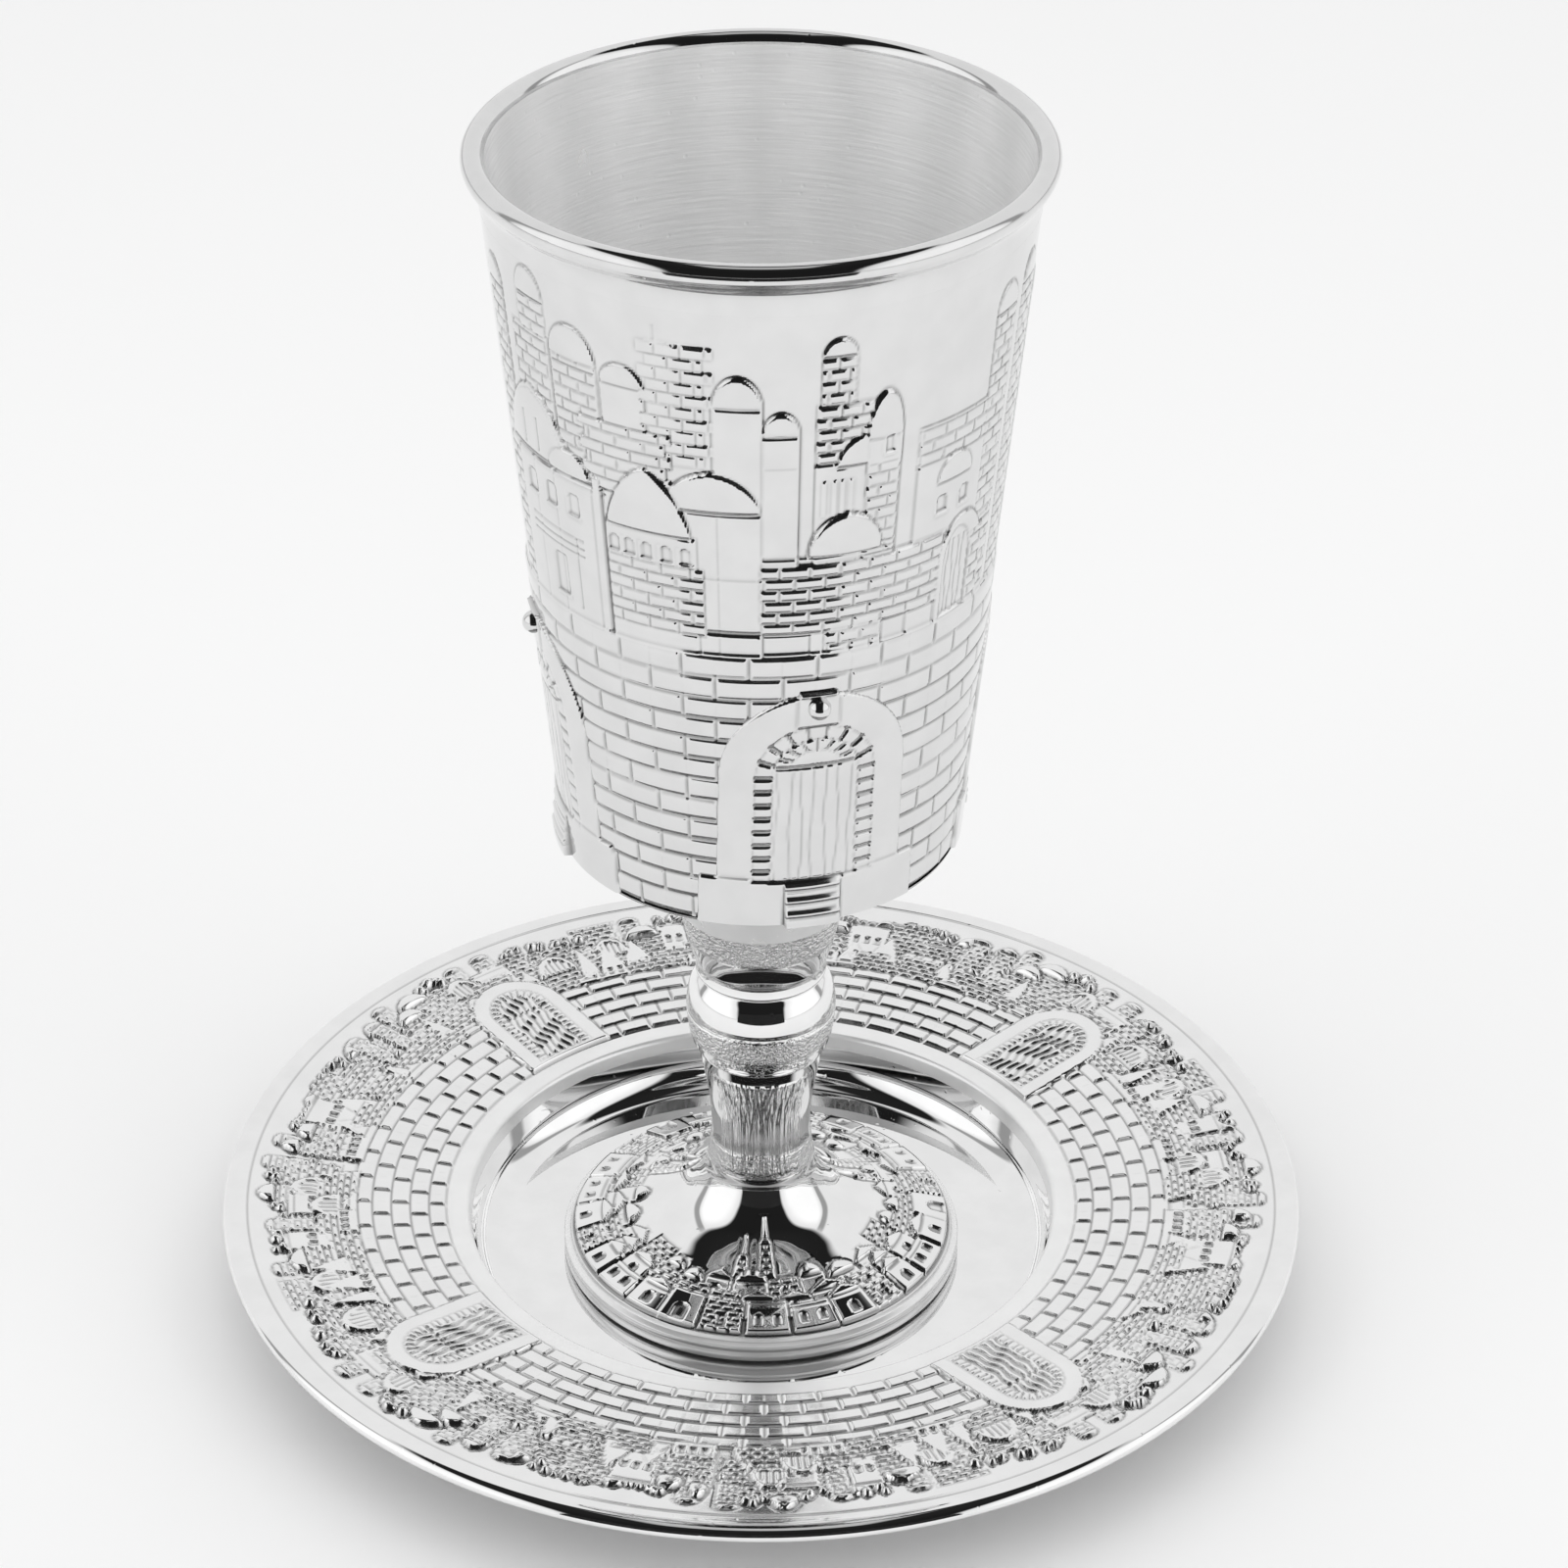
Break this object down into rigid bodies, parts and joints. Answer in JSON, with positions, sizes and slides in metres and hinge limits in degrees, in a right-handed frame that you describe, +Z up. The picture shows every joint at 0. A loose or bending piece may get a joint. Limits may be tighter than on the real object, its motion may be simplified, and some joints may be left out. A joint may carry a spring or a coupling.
{
  "type": "kiddush cup",
  "caption": "Footed kiddush goblet with a tapered beaker, a knopped stem and a bell foot on a round saucer, carrying a relief of a walled old town.",
  "frame": {"origin": "centre of the saucer's underside, on the common axis", "axes": "+Z up along the cup's axis, -Y towards the front of the picture, +X to its right"},
  "size_m": [0.13, 0.13, 0.1467],
  "materials": {
    "satin_plate": "bright plate over a cast relief, slightly satin",
    "mirror_plate": "bright polished plate"
  },
  "bodies": {
    "root": {"saucer": "satin_plate", "foot": "mirror_plate", "stem": "mirror_plate", "bowl": "satin_plate"}
  },
  "joints": []
}
